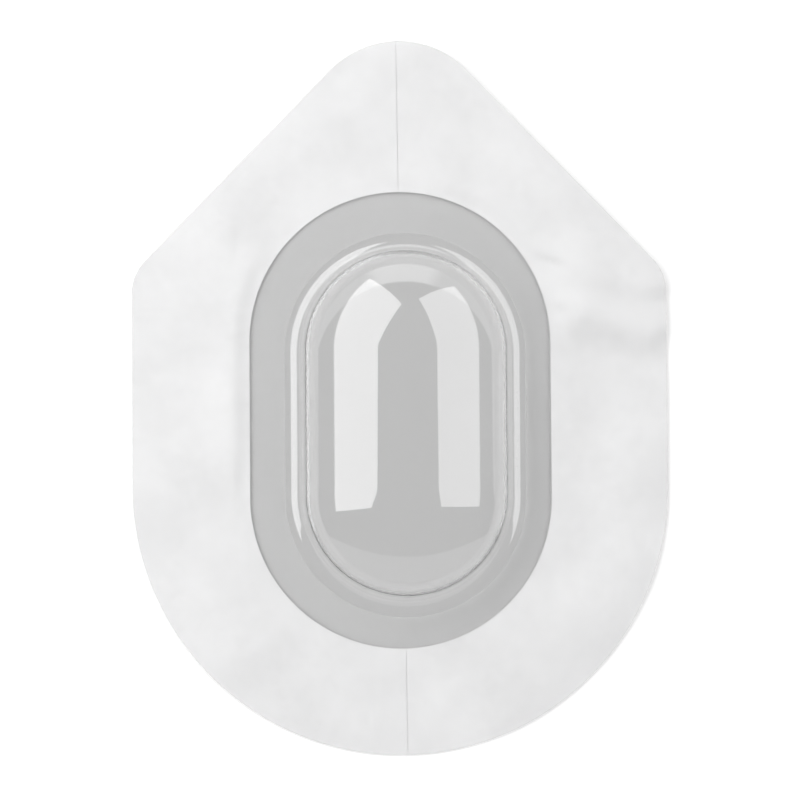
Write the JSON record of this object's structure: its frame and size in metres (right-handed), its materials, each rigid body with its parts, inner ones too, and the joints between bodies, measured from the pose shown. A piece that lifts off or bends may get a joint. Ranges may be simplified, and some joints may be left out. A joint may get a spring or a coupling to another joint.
{
  "type": "eye shield",
  "caption": "Clear long dome on a flat rim, held by a pointed, round-bottomed sheet of clear adhesive film with a peel-off paper liner; guards an eye after surgery.",
  "frame": {"origin": "middle of the sheet's length and width, on the plane that the rim and the liner lie on", "axes": "+Z away from the face, out of the top of the dome; +Y along the shield towards the sheet's pointed tip; +X to the right seen from the front with the tip up"},
  "size_m": [0.093, 0.1244, 0.016],
  "materials": {
    "clear_shell": "gloss",
    "clear_film": "gloss",
    "clear_glue": "satin",
    "release_paper": "satin"
  },
  "bodies": {
    "shield": {"eye_dome": "clear_shell", "dressing_film": "clear_film", "adhesive_coat": "clear_glue"},
    "left_liner": {"liner_left": "release_paper"},
    "right_liner": {"liner_right": "release_paper"}
  },
  "joints": [
    {"name": "left_liner_peel", "type": "slide", "parent": "shield", "child": "left_liner", "axis": [-1, 0, 0], "range_m": [0, 0.047]},
    {"name": "right_liner_peel", "type": "slide", "parent": "shield", "child": "right_liner", "axis": [1, 0, 0], "range_m": [0, 0.047]}
  ]
}
